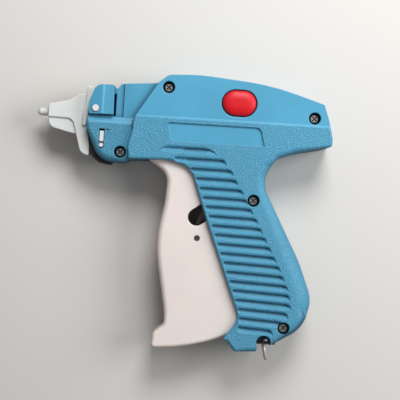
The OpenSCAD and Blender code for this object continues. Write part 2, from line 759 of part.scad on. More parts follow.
module feed_wheel() {
    half = nose_half - 6;
    color("Ivory")
        translate([wheel_axis[0], wheel_axis[1], mid])
            difference() {
                union() {
                    for (z = [-half, half - 3])
                        translate([0, 0, z])
                            cylinder(r = feed_wheel_radius, h = 3, $fn = 48);
                    translate([0, 0, -half])
                        cylinder(r = 2.2, h = 2 * half, $fn = 32);
                }
                translate([0, 0, -half - 1])
                    cylinder(r = axle_radius + running, h = 2 * half + 2, $fn = 24);
                for (i = [0 : feed_teeth - 1])
                    rotate([0, 0, i * 360 / feed_teeth])
                        translate([feed_wheel_radius, 0, -half - 1])
                            cylinder(r = 0.65, h = 2 * half + 2, $fn = 16);
            }
}

module feed_wheel_axle() {
    color("Silver")
        pin(wheel_axis, axle_radius, mid - nose_half + 1.4, mid + nose_half - 5.4, 24);
}

module index_link() {
    low = mid + nose_half - 5.2;
    color("Silver")
        difference() {
            union() {
                box([-25.6, 6.6, low], [-2.2, 9, low + 1.2]);
                pin([-25.6, 7.8], 1.2, low, low + 1.2, 24);
            }
            pin([-25.6, 7.8], 0.5, low - 1, low + 2, 20);
        }
}

module index_slider() {
    top = mid + nose_half;
    color("White") {
        box([-31.3, -1.4, top - 3.7], [-26.2, 7.2, top - 2.45]);
        box([-30.7, 1.5, top - 2.6], [-28.5, 7, top - 0.4]);
    }
}

module index_dot() {
    color("White")
        pin([-29.6, -0.5], 1.05, mid + nose_half - 2.45, mid + nose_half - 0.4, 32);
}

module lock_lever() {
    color("SteelBlue")
        difference() {
            union() {
                translate([0, 0, mid + lock_low])
                    dome(LOCK, lock_thickness, 0, 15, 2);
                pin(lock_pin, 3.4, mid + nose_half - lever_recess + 0.3, mid + lock_low + 0.6);
            }
            pin(lock_pin, lock_shaft_radius, 0, 40);
        }
}

module lock_shaft() {
    color("White")
        pin(lock_pin, lock_shaft_radius, mid + base_radius + 1.1, mid + lock_low + lock_thickness + 0.2);
}

// ---- button ----

function button_corners() =
    let (l = button_length / 2, w = button_width / 2)
    [for (c = [[-1, -1], [1, -1], [1, 1], [-1, 1]])
        [button_centre[0] + c[0] * l, button_centre[1] + c[1] * w, w - 0.3, 2.6]];

module side_button() {
    color("Crimson")
        translate([0, 0, mid])
            difference() {
                union() {
                    dome(button_corners(), 15.1, 10.4, 15, 3);
                    pin(button_centre, stem_radius, 5.4, 11, 32);
                }
                // room for the spring
                difference() {
                    pin(button_centre, 3.6, 9, 12.4);
                    pin(button_centre, stem_radius, 8, 13, 32);
                }
                // groove for the clip
                difference() {
                    pin(button_centre, 3, 5.8, 6.25, 32);
                    pin(button_centre, 1, 5, 7, 32);
                }
            }
}

module button_spring() {
    low = 7.6;
    high = 12.4;
    turns = 4;
    p = (high - low) / turns;
    color("Silver")
        translate([button_centre[0], button_centre[1], mid])
            rotate_extrude($fn = 36)
                polygon(concat(
                    [[2, low]],
                    [for (i = [0 : turns - 1]) each [
                        [2.9, low + p * (i + 0.02)], [3.25, low + p * (i + 0.3)],
                        [3.25, low + p * (i + 0.6)], [2.9, low + p * (i + 0.98)]]],
                    [[2, high]]));
}

module button_clip() {
    color("Silver")
        translate([0, 0, mid])
            difference() {
                pin(button_centre, 1.9, 5.83, 6.22, 32);
                pin(button_centre, 1, 5, 7, 32);
                box([button_centre[0] - 0.6, button_centre[1], 5], [button_centre[0] + 0.6, button_centre[1] + 3, 7]);
            }
}

// ---- ring ----

module hang_ring() {
    hang = ring_radius - ring_wire - ring_bar_radius - 0.08;
    color("Silver")
        translate([ring_bar_at[0], ring_bar_at[1], mid])
            rotate([0, 0, 13])
                translate([0, -hang, 0])
                    rotate([0, 90, 0])
                        rotate_extrude($fn = 48)
                            translate([ring_radius, 0])
                                circle(r = ring_wire, $fn = 20);
}

module ring_bar() {
    color("DimGray")
        translate([ring_bar_at[0] - 6.4, ring_bar_at[1], mid])
            rotate([0, 90, 0])
                cylinder(r = ring_bar_radius, h = 12.8, $fn = 32);
}

housing_left();
housing_right();
housing_screws();
trigger();
trigger_pivot_pin();
trigger_link_pin();
drive_lever();
lever_pivot_pin();
slide_carriage();
push_rod();
rod_guide();
return_spring();
spring_anchor_pin();
needle();
needle_base();
needle_cap();
knife_blade();
nose_guide();
feed_wheel();
feed_wheel_axle();
index_link();
index_slider();
index_dot();
lock_lever();
lock_shaft();
side_button();
button_spring();
button_clip();
hang_ring();
ring_bar();
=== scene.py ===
"""Garment tag attacher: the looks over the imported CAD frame.

Outlines are in millimetres, as in the part's source; meshes are in metres.
Heights in this file are measured from the joint plane between the halves.
"""

from math import acos, atan2, cos, pi, radians, sin, tan

import bmesh
import bpy
from mathutils import Matrix, Vector


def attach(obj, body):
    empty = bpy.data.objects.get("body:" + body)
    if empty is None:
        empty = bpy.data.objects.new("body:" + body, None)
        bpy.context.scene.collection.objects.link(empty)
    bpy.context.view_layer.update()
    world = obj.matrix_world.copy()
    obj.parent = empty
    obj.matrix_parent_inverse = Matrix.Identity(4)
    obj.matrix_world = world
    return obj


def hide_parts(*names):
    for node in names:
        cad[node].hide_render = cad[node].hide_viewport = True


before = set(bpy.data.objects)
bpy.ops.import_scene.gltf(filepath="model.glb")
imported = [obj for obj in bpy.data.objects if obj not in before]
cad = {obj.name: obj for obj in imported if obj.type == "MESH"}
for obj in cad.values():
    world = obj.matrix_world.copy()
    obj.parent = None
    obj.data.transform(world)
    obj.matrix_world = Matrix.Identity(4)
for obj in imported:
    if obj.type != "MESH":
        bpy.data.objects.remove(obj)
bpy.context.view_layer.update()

MM = 0.001

# ---- sizes, in millimetres ----

MID = 14.0  # height of the joint plane
BODY_HALF = 14.0
NOSE_HALF = 11.0
WALL = 2.4
CREASE_DROP = 0.7
CREASE_Y = (15.5, 16.6)  # lower and upper edge of the crease along the body
NOSE_DROP = 1.4
BEVEL_Y = (11.0, 14.8)  # lower and upper edge of the nose's bevel
LEVER_RECESS = 2.4
LEVER_RECESS_X = -19.0  # right end of the lock lever's recess
LOCK_LOW = 10.2  # underside of the lock lever
LOCK_THICKNESS = 2.6
LABEL_DEPTH = 1.0
NEEDLE_Y = 16.0
BOSS_TOP = 12.05  # the bosses end below the deepest groove
BORE_TOP = 11.5  # the pins' bores end inside the bosses
SPLIT_GROOVE = 0.15  # chamfer where the halves meet
BELOW = -1.0  # a height past the joint plane, for cutters
FAR = 20.0  # a height clear of the tool, for cutters

SCREWS = [(4.1, 31.7), (81.1, 20.1), (-19.5, -3.5), (51.8, -24.7), (71.6, -90.1)]
SCREW_TOPS = [13.3, 13.3, 11.0, 14.0, 14.0]  # height of the surface round each screw
COUNTERBORE = 3.1
SCREW_SINK = 4.4  # depth of the screw seats below the surface round them
SCREW_SHANK = 1.25
SCREW_HOLE = 14.5  # from a screw's seat to the bottom of its hole
SCREW_POST = 3.4
POST_WALL = 1.4
PIVOT = (0.0, 0.0)
PIVOT_BORE = 2.05
PIVOT_BOSS = (3.8, 10.7)  # radius and lower end
LEVER_PIVOT = (32.4, -26.4)
LEVER_BORE = 1.8
LEVER_BOSS = (3.6, 7.3)
LINK_PIN = (23.6, -46.1)
LINK_BORE = 1.55
LOCK_PIN = (-33.35, 18.65)
LOCK_BORE = 1.8
LOCK_LEVER_BORE = 1.75
LOCK_BOSS = (3.4, 8.9)
WHEEL_AXIS = (-29.6, 5.0)
AXLE_BORE = 0.95
BASE_BORE = 2.25  # of the needle's base
BUTTON_CENTRE = (41.4, 25.6)
BUTTON_SIZE = (17.6, 13.2)
BUTTON_GAP = 0.45
BUTTON_WALL = 1.2
BUTTON_WALL_LOW = 6.4
BUTTON_RIM = (12.7, 12.95, 13.33)  # heights of the rounded rim of the button's hole
BUTTON_SIDE_TOP = 12.6
BUTTON_CROWN = 2.5
BUTTON_CROWN_INSET = 5.4
BUTTON_STEM = 1.4
TAG_SLOT = (-24.3, -23.1, 15.0, 27.0)  # left, right, lower and upper edge
WINDOW = (-31.0, -28.2, -0.8, 8.1)  # left, right, centre of the round end, top
ANCHOR = (78.8, 13.5)
ANCHOR_BORE = 1.3
ANCHOR_BOSS = (3.0, 6.0)
RING_BAR = (62.3, -99.9)
BAR_BORE = 0.95
BAR_HALF = 6.5
NOTCH = (61.7, -98.2, 3.8)  # x, y and radius of its round end
NOTCH_SIDE = 3.4
# Ribs inside the halves: lower and upper corner.
RIBS = [
    ((9, 6.2, 3.9), (62, 8.25, BOSS_TOP)), ((6, 21.75, 3.9), (62, 22.95, BOSS_TOP)),
    ((-4.4, 11.2, 8), (2.4, 20.8, BOSS_TOP)), ((-29.8, 12, 0), (-26.5, 20, 7.1))]

# Corners of outlines: x, y, corner radius, edge radius; anticlockwise.
BODY = [
    (-14, 13.8, 2, 1.8), (-13.3, 9.5, 5, 0.8), (-15.6, 0, 8, 0.8), (-15, -6.9, 1, 1.5),
    (7, -6.1, 9, 1.5), (18, -9.5, 9, 1.9), (28.3, -37.5, 60, 1.9), (41.8, -71, 30, 1.9),
    (48.2, -86.6, 9, 1.9), (40.4, -97.6, 0.7, 0.8), (42.8, -98.6, 2, 1.5),
    (46.5, -103.9, 1.8, 2), (58, -103.2, 2, 3), (66, -99.2, 2, 3), (81.1, -91.1, 19, 6),
    (86.4, -75.6, 17, 8.5), (78, -54.9, 60, 8.5), (55.2, -13.8, 14, 5), (62.9, -1.8, 8, 3),
    (72, 1.6, 14, 3), (91.1, 6.1, 1.5, 1.2), (91.1, 10, 4, 1.2), (88.6, 20, 10, 1.2),
    (85.8, 27.6, 0.8, 1.2), (58, 36, 130, 1.3), (20, 39.2, 90, 1.3), (3.9, 38.3, 6, 1.3),
    (-1.4, 33.9, 1, 1.6)]
REAR_CORNER = 21  # upper corner of the short rear edge, which a wide inset would turn over
NOSE = [
    (-37.5, 15, 1, 2), (-38.4, 9.5, 8, 2), (-31, -8.8, 11, 4), (-17.5, -8.8, 6, 3),
    (-12, -5.6, 2, 2), (4, -3, 1, 1), (4, 30, 1, 1), (2.6, 34.2, 0.6, 0.5),
    (-20.8, 32.3, 1.5, 0.8), (-22.9, 29.4, 0.6, 0.8), (-25, 31.6, 1, 0.8),
    (-33, 31, 6, 1), (-37, 20, 10, 2)]
TRIGGER_FRONT = [
    (-7, -4.5, 2.5, 1.4), (6.3, -13.8, 9, 2.8), (5.6, -28, 30, 3), (1.6, -50, 60, 3),
    (8.4, -84, 40, 2.6), (9.2, -92.2, 4.5, 2), (3.4, -97, 3.6, 1.8), (2.7, -105.1, 2, 1.7)]
TRIGGER_REAR = [
    (50.5, -92, 3, 1.2), (43.6, -70, 20, 1.2), (31.5, -38, 40, 1.2), (24, -18, 40, 1.2),
    (14, 0, 6, 1), (4, 6.6, 3, 1), (-6, 6.2, 4, 1)]
TRIGGER_REACH = 105.0
TRIGGER_HALF = 10.4
TRIGGER_INSIDE = 7.4
TRIGGER_WALL = 3.6
TRIGGER_HUB = 5.8
TRIGGER_SLOT_END = 4.5
SQUEEZE = 18.0  # degrees
GUIDE = [
    (-36.4, 3, 1, 0.4), (-36.3, -4.6, 7, 0.4), (-31, -9.9, 7, 0.4), (-24.2, -10.1, 1, 0.4),
    (-24.2, -5.5, 1, 0.4), (-31, -4, 5, 0.4), (-33.2, 3, 1, 0.4)]
LOCK = [
    (-36.8, 15.6, 0.6, 0.5), (-24, 15.9, 0.4, 0.5), (-24.4, 31.3, 1.2, 0.5),
    (-33.6, 31.2, 5, 0.5), (-37.2, 21.5, 9, 0.5)]
CAP_PLATE = [
    (-59.2, 13.3, 0.4, 0.5), (-46.2, 13, 4, 0.5), (-43.9, 4.6, 6, 0.5),
    (-41.2, -4.6, 4, 0.5), (-36.3, -6.6, 1, 0.5), (-36.6, 1, 6, 0.5), (-38.7, 10, 3, 0.5),
    (-38.6, 26.3, 0.5, 0.5), (-43.6, 26.3, 3, 0.5), (-48.6, 22.7, 8, 0.5),
    (-59.2, 20.1, 0.6, 0.5)]
CAP_WEB = [
    (-59.1, 8.2, 4.5, 0.5), (-50, 6, 8, 0.5), (-42, 4.4, 1, 0.5), (-42, 14, 1, 0.5),
    (-59.1, 14, 0.3, 0.5)]
CAP_FLANGE = [
    (-40.7, 9.6, 0.9, 0.4), (-38.9, 9.6, 0.5, 0.4), (-37.9, 15, 4, 0.5),
    (-37.5, 20, 9, 0.5), (-35.3, 26, 9, 0.5), (-35.3, 30.7, 0.6, 0.5),
    (-39, 30.5, 0.4, 0.5), (-39.4, 22, 6, 0.5), (-40.8, 16, 4, 0.5)]
CAP_HALF = 4.5
CAP_WEB_HALF = 3.4
CAP_FLANGE_HALF = 6.0
CAP_TIP_X = -65.4
CAP_TIP = 2.15
CAP_NEEDLE_BORE = 1.5
CAP_SPIGOT_BORE = 1.9
LABEL = [(6.9, 3.6, 3, 0), (55.8, 3.7, 0.4, 0), (53.2, 13.3, 3, 0), (4.8, 13.3, 0.4, 0)]

# Grip grooves: y of the dark upper wall, x of the left end, x where the tail starts.
GROOVES = [
    (0.5, 5.0, 26.0), (-4.8, 9.2, 34.6), (-9.9, 17.6, 38.6), (-14.8, 20.9, 41.3),
    (-19.7, 23.0, 44.5), (-24.5, 25.0, 47.3), (-29.2, 26.9, 50.0), (-34.0, 28.8, 53.0),
    (-38.8, 30.7, 55.6), (-43.5, 32.5, 58.3), (-48.2, 34.3, 61.0), (-53.0, 36.1, 63.7),
    (-57.7, 38.0, 66.3), (-62.5, 39.9, 68.7), (-67.2, 41.7, 70.9), (-71.9, 43.6, 72.3),
    (-76.7, 45.3, 73.0), (-81.4, 46.9, 71.8), (-86.2, 47.8, 69.5), (-90.9, 47.6, 64.3)]
# Height of the surface across a groove, from the dull side of the rib above to the next crest.
GROOVE_PROFILE = [
    (1.68, 0.35), (1.6, 0.02), (1.2, -0.1), (0.7, -0.34), (0.52, -0.48), (0.34, -0.93), (0.12, -1.58),
    (-0.15, -1.73), (-0.5, -1.73), (-0.9, -1.56), (-1.5, -1.1), (-2.1, -0.6), (-2.55, -0.24),
    (-2.85, -0.03), (-2.95, 0.35)]
# The ribbed field lies a little lower than its border along the grip's front edge.
BORDER_PATH = [
    (7.4, -4.4), (11.2, -6.1), (15.5, -9.2), (18.4, -13.5), (23.4, -26), (31.2, -46), (44.6, -80),
    (46.2, -89)]
BORDER_PROFILE = [
    (-0.35, 0.3), (-0.1, 0.01), (0.5, -0.3), (1.2, -0.34), (4.5, -0.16), (7.5, 0.01), (8.4, 0.3)]


# ---- mesh building ----

def corner_arc(before, corner, after, inset, step):
    """Points of one rounded corner, moved inwards by inset, one every step degrees."""
    at = Vector(corner[:2])
    u = (Vector(before[:2]) - at).normalized()
    v = (Vector(after[:2]) - at).normalized()
    side = 1 if u.y * v.x - u.x * v.y > 0 else -1
    half = acos(max(-1.0, min(1.0, u.dot(v)))) / 2
    radius = corner[2]
    r = max(radius - inset, min(radius, 0.3)) if side > 0 else radius + inset
    r = max(r, 0.05)
    along = (u + v).normalized()
    tip = at + along * (side * inset / sin(half))
    middle = tip + along * (r / sin(half))
    start = tip + u * (r / tan(half)) - middle
    end = tip + v * (r / tan(half)) - middle
    a = atan2(start.y, start.x)
    turn = (atan2(end.y, end.x) - a + 3 * pi) % (2 * pi) - pi
    count = max(1, round((pi - 2 * half) / radians(step)))
    return [middle + r * Vector((cos(a + turn * i / count), sin(a + turn * i / count)))
            for i in range(count + 1)]


def rounded(corners, inset=0.0, step=6):
    """The outline of corners, moved inwards by inset."""
    n = len(corners)
    return [p for i in range(n)
            for p in corner_arc(corners[i - 1], corners[i], corners[(i + 1) % n], inset, step)]


def edge_loop(corners, top, turn, step):
    """One loop of a rounded edge at the angle turn, for a face at height top."""
    n = len(corners)
    loop = []
    for i, corner in enumerate(corners):
        edge = corner[3]
        drop = edge * (1 - sin(turn))
        z = top - drop if top > 0 else top + drop
        arc = corner_arc(corners[i - 1], corner, corners[(i + 1) % n], edge * (1 - cos(turn)), step)
        loop += [(p.x, p.y, z) for p in arc]
    return loop


def level(points, z):
    return [(p[0], p[1], z) for p in points]


def loft(loops):
    """A closed solid through loops of points in millimetres, the lowest first."""
    n = len(loops[0])
    verts = [Vector(p) * MM for loop in loops for p in loop]
    faces = [list(range(n - 1, -1, -1))]
    for k in range(len(loops) - 1):
        low, high = k * n, (k + 1) * n
        faces += [(low + i, low + (i + 1) % n, high + (i + 1) % n, high + i) for i in range(n)]
    faces.append([(len(loops) - 1) * n + i for i in range(n)])
    mesh = bpy.data.meshes.new("solid")
    mesh.from_pydata(verts, [], faces)
    mesh.update()
    obj = bpy.data.objects.new("solid", mesh)
    bpy.context.scene.collection.objects.link(obj)
    return obj


def prism(points, low, high):
    return loft([level(points, low), level(points, high)])


def box(low, high):
    return prism([(low[0], low[1]), (high[0], low[1]), (high[0], high[1]), (low[0], high[1])],
                 low[2], high[2])


def polar(r, angle):
    return (r * cos(angle), r * sin(angle))


def circle(at, r, steps=48):
    return [(at[0] + r * cos(2 * pi * i / steps), at[1] + r * sin(2 * pi * i / steps))
            for i in range(steps)]


def lathe(profile, at=(0, 0), steps=48):
    """A closed solid turned about Z: profile is (radius, height), the lowest first."""
    return loft([level(circle(at, max(r, 0.001), steps), z) for r, z in profile])


def rod(at, r, low, high):
    """A plain round solid: a boss, or the cutter of a hole."""
    return lathe([(r, low), (r, high)], at)


def drill(at, r, low, surface, flare=0.35, steps=48):
    """A hole's cutter whose rim is rounded where it meets the surface."""
    return lathe([(r, low), (r, surface - flare), (r + 0.12 * flare, surface - 0.6 * flare),
                  (r + 0.4 * flare, surface - 0.22 * flare), (r + flare, surface + 0.02),
                  (r + flare, surface + 3)], at, steps)


def along_x(profile, y, z=0.0, steps=40):
    """A closed solid turned about the X direction at (y, z): profile is (radius, x)."""
    return loft([[(x, p, q) for p, q in circle((y, z), max(r, 0.001), steps)] for r, x in profile])


def band(points, x_low, x_high):
    """A cutter of one section (y, z) along X."""
    return loft([[(x_low, y, z) for y, z in points], [(x_high, y, z) for y, z in points]])


def stadium(at, length, width, steps=20):
    """Outline of a slot with round ends along X."""
    r = width / 2
    points = []
    for side, start in ((1, -pi / 2), (-1, pi / 2)):
        x = at[0] + side * (length / 2 - r)
        points += [(x + r * cos(start + pi * i / steps), at[1] + r * sin(start + pi * i / steps))
                   for i in range(steps + 1)]
    return points


def grown(points, amount):
    """A loop of points moved outwards by amount."""
    out = []
    n = len(points)
    for i in range(n):
        a, b, c = (Vector(points[j % n]) for j in (i - 1, i, i + 1))
        u, v = (b - a), (c - b)
        if u.length < 1e-6 or v.length < 1e-6:
            out.append(b)
            continue
        u.normalize()
        v.normalize()
        normal = Vector((u.y + v.y, -u.x - v.x))
        if normal.length < 0.2:
            out.append(b)
            continue
        normal.normalize()
        out.append(b + normal * amount / max(0.5, normal.dot(Vector((u.y, -u.x)))))
    return [(p.x, p.y) for p in out]


def merged(objects):
    """One object from several that don't touch."""
    mesh = bmesh.new()
    for obj in objects:
        mesh.from_mesh(obj.data)
    data = bpy.data.meshes.new("merged")
    mesh.to_mesh(data)
    mesh.free()
    for obj in objects:
        bpy.data.objects.remove(obj)
    out = bpy.data.objects.new("merged", data)
    bpy.context.scene.collection.objects.link(out)
    return out


def bake(obj):
    """Applies the modifiers."""
    graph = bpy.context.evaluated_depsgraph_get()
    mesh = bpy.data.meshes.new_from_object(obj.evaluated_get(graph))
    obj.modifiers.clear()
    obj.data = mesh
    return obj


def combine(obj, tools, operation):
    """Joins tools to obj, or cuts them from it, as one exact boolean."""
    tool = merged(tools) if len(tools) > 1 else tools[0]
    normals_out(tool)
    modifier = obj.modifiers.new("combine", "BOOLEAN")
    modifier.operation = operation
    modifier.solver = "EXACT"
    modifier.object = tool
    bake(obj)
    bpy.data.objects.remove(tool)
    return obj


def cut(obj, *tools):
    return combine(obj, list(tools), "DIFFERENCE")


def join(obj, *tools):
    return combine(obj, list(tools), "UNION")


def normals_out(obj):
    mesh = bmesh.new()
    mesh.from_mesh(obj.data)
    bmesh.ops.recalc_face_normals(mesh, faces=mesh.faces)
    mesh.to_mesh(obj.data)
    mesh.free()


def dome(corners, top, low=0.0, step=6, turns=8, groove=0.0):
    """A plate from low to top with its upper edge rounded; groove chamfers its lower edge."""
    base = edge_loop(corners, top, 0, step)
    loops = []
    if groove:
        loops.append(level(rounded(corners, groove, step), low))
        loops.append(level(base, low + groove))
    else:
        loops.append(level(base, low))
    loops += [edge_loop(corners, top, radians(90 * k / turns), step) for k in range(turns + 1)]
    return loft(loops)


def pillow(corners, half, step=6, turns=8):
    """A plate about the joint plane with both its edges rounded."""
    angles = [radians(90 * k / turns) for k in range(turns + 1)]
    return loft([edge_loop(corners, -half, a, step) for a in reversed(angles)]
                + [edge_loop(corners, half, a, step) for a in angles])


def place(obj, name, body, replaced, slot, side=1, sharp=34):
    """Names, shades and seats a piece in its CAD node's place; side -1 mirrors it below the joint plane."""
    mesh = bmesh.new()
    mesh.from_mesh(obj.data)
    bmesh.ops.remove_doubles(mesh, verts=mesh.verts, dist=0.000004)
    bmesh.ops.dissolve_degenerate(mesh, edges=mesh.edges, dist=0.000004)
    bmesh.ops.recalc_face_normals(mesh, faces=mesh.faces)
    mesh.to_mesh(obj.data)
    mesh.free()
    if side < 0:
        obj.data.transform(Matrix.Scale(-1, 4, (0, 0, 1)))
        obj.data.flip_normals()
    obj.data.transform(Matrix.Translation((0, 0, MID * MM)))
    obj.name = obj.data.name = name
    obj.data.materials.clear()
    obj.data.materials.append(MATERIALS[slot])
    obj.data.shade_smooth()
    obj.data.set_sharp_from_angle(angle=radians(sharp))
    smooth = obj.modifiers.new("normals", "WEIGHTED_NORMAL")
    smooth.keep_sharp = True
    smooth.weight = 80
    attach(obj, body)
    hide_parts(replaced)


# ---- materials ----

def linear(r, g, b):
    """A colour picked from a picture, as the shader wants it."""
    parts = [c / 255 for c in (r, g, b)]
    return tuple(c / 12.92 if c <= 0.04045 else ((c + 0.055) / 1.055) ** 2.4 for c in parts) + (1.0,)


def feed(tree, socket, value):
    """Sets an input to a value, or links another node's output to it."""
    if isinstance(value, bpy.types.NodeSocket):
        tree.links.new(value, socket)
    else:
        socket.default_value = value


def add(tree, kind, inputs=None, **settings):
    """A shader node with its settings and inputs; an input is a value or another node's output."""
    made = tree.nodes.new(kind)
    for key, value in settings.items():
        setattr(made, key, value)
    for key, value in (inputs or {}).items():
        feed(tree, made.inputs[key], value)
    return made


def math(tree, operation, a, b=0.0, clamp=False):
    return add(tree, "ShaderNodeMath", {0: a, 1: b}, operation=operation, use_clamp=clamp).outputs[0]


def times(tree, *factors):
    """The product of several masks or numbers."""
    out = factors[0]
    for factor in factors[1:]:
        out = math(tree, "MULTIPLY", out, factor)
    return out


def noise(tree, at, size, detail=3.0, rough=0.55):
    """Noise with features of about size millimetres."""
    made = add(tree, "ShaderNodeTexNoise",
               {"Vector": at, "Scale": 1 / (size * MM), "Detail": detail, "Roughness": rough})
    return made.outputs["Fac"]


def ramp(tree, value, low, high, to_low=0.0, to_high=1.0):
    made = add(tree, "ShaderNodeMapRange", {
        "Value": value, "From Min": low, "From Max": high, "To Min": to_low, "To Max": to_high},
        interpolation_type="SMOOTHSTEP")
    return made.outputs["Result"]


def fade(tree, value, start, end):
    """A mask that goes from 0 at start to 1 at end, both in millimetres."""
    return ramp(tree, value, start * MM, end * MM)


def between(tree, value, low, high, soft=0.4):
    """1 where value lies between low and high millimetres, with a soft edge inside them."""
    return times(tree, fade(tree, value, low, low + soft), fade(tree, value, high, high - soft))


def occlusion(tree, reach, samples):
    """How open a place is, from 0 in a deep corner to 1, within reach millimetres."""
    made = add(tree, "ShaderNodeAmbientOcclusion", {"Distance": reach * MM}, samples=samples)
    return made.outputs["AO"]


def blend(tree, factor, a, b):
    return add(tree, "ShaderNodeMix", {0: factor, 6: a, 7: b}, data_type="RGBA").outputs[2]


def scaled(colour, factor):
    return tuple(min(1.0, c * factor) for c in colour[:3]) + (1.0,)


def leather(tree, at, size):
    """Height of a pebbled leather grain, 0 in its creases and 1 on its cells."""
    warp = add(tree, "ShaderNodeTexNoise", {"Vector": at, "Scale": 1 / (size * 1.4 * MM), "Detail": 2.0})
    offset = add(tree, "ShaderNodeVectorMath", {0: warp.outputs["Color"], 1: (size * MM * 0.9,) * 3},
                 operation="MULTIPLY")
    moved = add(tree, "ShaderNodeVectorMath", {0: at, 1: offset.outputs[0]}, operation="ADD")
    cells = add(tree, "ShaderNodeTexVoronoi", {"Vector": moved.outputs[0], "Scale": 1 / (size * MM)},
                feature="DISTANCE_TO_EDGE")
    return ramp(tree, cells.outputs["Distance"], 0.0, 0.32)


def start_material(name):
    """A new material, its node tree and the object's own coordinates."""
    material = bpy.data.materials.new(name)
    material.use_nodes = True
    at = add(material.node_tree, "ShaderNodeTexCoord").outputs["Object"]
    return material, material.node_tree, at


def wire(tree, base, roughness, bump):
    """Feeds the shader its three main inputs and gives it back."""
    shader = tree.nodes["Principled BSDF"]
    feed(tree, shader.inputs["Base Color"], base)
    feed(tree, shader.inputs["Roughness"], roughness)
    feed(tree, shader.inputs["Normal"], bump.outputs[0])
    return shader


def plastic(name, colour, rough=0.45, grain=None, grain_size=1.0, grain_depth=0.17, specular=0.5,
            wear=0.12, soft=0.0, tone=0.05, crevice_shading=0.5, dark=None):
    """Moulded plastic: broad and fine colour variation, scuffs, worn edges, orange peel, painted shade in
    crevices;
    grain(tree, place) and dark(tree, place) give the masks of its leathered areas and of more painted
    shade."""
    material, tree, at = start_material(name)
    broad = noise(tree, at, 34, 2.0)
    fine = noise(tree, at, 0.9, 4.0, 0.7)
    speck = noise(tree, at, 0.25, 2.0)
    along = add(tree, "ShaderNodeMapping", {
        "Vector": at, "Scale": (240, 1500, 600), "Rotation": (0, 0, 0.5)})
    lines = add(tree, "ShaderNodeTexNoise", {"Vector": along.outputs[0], "Scale": 1.0, "Detail": 3.0})
    scuff = ramp(tree, lines.outputs["Fac"], 0.6, 0.74)

    edge = add(tree, "ShaderNodeBevel", {"Radius": 0.35 * MM}, samples=4)
    true_normal = add(tree, "ShaderNodeNewGeometry").outputs["Normal"]
    alike = add(tree, "ShaderNodeVectorMath", {0: edge.outputs[0], 1: true_normal}, operation="DOT_PRODUCT")
    worn = times(tree, ramp(tree, alike.outputs["Value"], 0.995, 0.9), ramp(tree, fine, 0.3, 0.7), wear)
    pale = tuple(c + (1 - c) * 0.55 for c in colour[:3]) + (1.0,)
    deep = (0.0, colour[1] * 0.06, colour[2] * 0.11, 1.0)

    base = blend(tree, ramp(tree, broad, 0.3, 0.7), scaled(colour, 1 - tone), scaled(colour, 1 + tone))
    base = blend(tree, times(tree, ramp(tree, speck, 0.35, 0.7), 0.18), base, scaled(colour, 0.82))
    base = blend(tree, worn, base, pale)
    # painted shade: the colour darkens in crevices and corners, found by ambient occlusion
    crevice_shade = times(tree, ramp(tree, occlusion(tree, 1.3, 6), 0.85, 0.3), crevice_shading)
    base = blend(tree, crevice_shade, base, scaled(colour, 0.25))
    # painted shade: the dark mask pulls the colour towards deep, a near-black blue
    if dark:
        base = blend(tree, dark(tree, at), base, deep)
    roughness = math(tree, "ADD", ramp(tree, fine, 0.2, 0.8, rough - 0.06, rough + 0.07),
                     times(tree, scuff, 0.1), clamp=True)
    height = times(tree, noise(tree, at, 0.6, 3.0), 0.12)
    if grain:
        mask = grain(tree, at)
        cells = leather(tree, at, grain_size)
        height = math(tree, "ADD", height, times(tree, cells, mask))
        # painted shade: the grain's creases are darkened
        crease = times(tree, math(tree, "SUBTRACT", 1.0, cells), mask, 0.4)
        base = blend(tree, crease, base, scaled(colour, 0.55))
        roughness = math(tree, "ADD", roughness, times(tree, mask, 0.06), clamp=True)
    bump = add(tree, "ShaderNodeBump", {
        "Height": height, "Distance": grain_depth * MM, "Strength": 0.8, "Normal": edge.outputs[0]})
    shader = wire(tree, base, roughness, bump)
    shader.inputs["Specular IOR Level"].default_value = specular
    if soft:
        shader.inputs["Subsurface Weight"].default_value = soft
        shader.inputs["Subsurface Radius"].default_value = (3.5 * MM, 1.8 * MM, 0.9 * MM)
        shader.inputs["Subsurface Scale"].default_value = 1.0
    return material


def metal(name, colour, rough=0.3, brushed=(1, 1, 1), tarnish=0.25, metallic=1.0, crevice_shading=0.0):
    """Bare metal: brushed bump, uneven roughness, a darker tarnish and painted shade in its corners."""
    material, tree, at = start_material(name)
    stretched = add(tree, "ShaderNodeMapping", {"Vector": at, "Scale": tuple(900 * b for b in brushed)})
    lines = add(tree, "ShaderNodeTexNoise", {"Vector": stretched.outputs[0], "Scale": 1.0, "Detail": 4.0})
    spots = ramp(tree, noise(tree, at, 1.6, 4.0), 0.5, 0.75)
    base = blend(tree, times(tree, spots, tarnish), colour, scaled(colour, 0.45))
    base = blend(tree, times(tree, lines.outputs["Fac"], 0.15), base, scaled(colour, 0.75))
    # painted shade: the colour goes nearly black in corners, found by ambient occlusion
    if crevice_shading:
        crevice_shade = times(tree, ramp(tree, occlusion(tree, 3, 8), 0.75, 0.3), crevice_shading)
        base = blend(tree, crevice_shade, base, scaled(colour, 0.03))
    roughness = math(tree, "ADD", ramp(tree, lines.outputs["Fac"], 0.2, 0.8, rough - 0.08, rough + 0.1),
                     times(tree, spots, 0.15), clamp=True)
    bump = add(tree, "ShaderNodeBump", {
        "Height": lines.outputs["Fac"], "Distance": 0.02 * MM, "Strength": 0.5})
    wire(tree, base, roughness, bump).inputs["Metallic"].default_value = metallic
    return material


LABEL_AREA = ((4.2, 56.2), (3.0, 13.9))  # x and y of the label recess and its rim, in millimetres
FIELD_LEAN = (0.378, 0.55)  # slant of the ribbed field's left and right border


def depth_below_side(tree, z):
    """How far a place lies inside the body's sides, from its height."""
    from_plane = math(tree, "ABSOLUTE", math(tree, "SUBTRACT", z, MID * MM))
    return math(tree, "SUBTRACT", BODY_HALF * MM, from_plane)


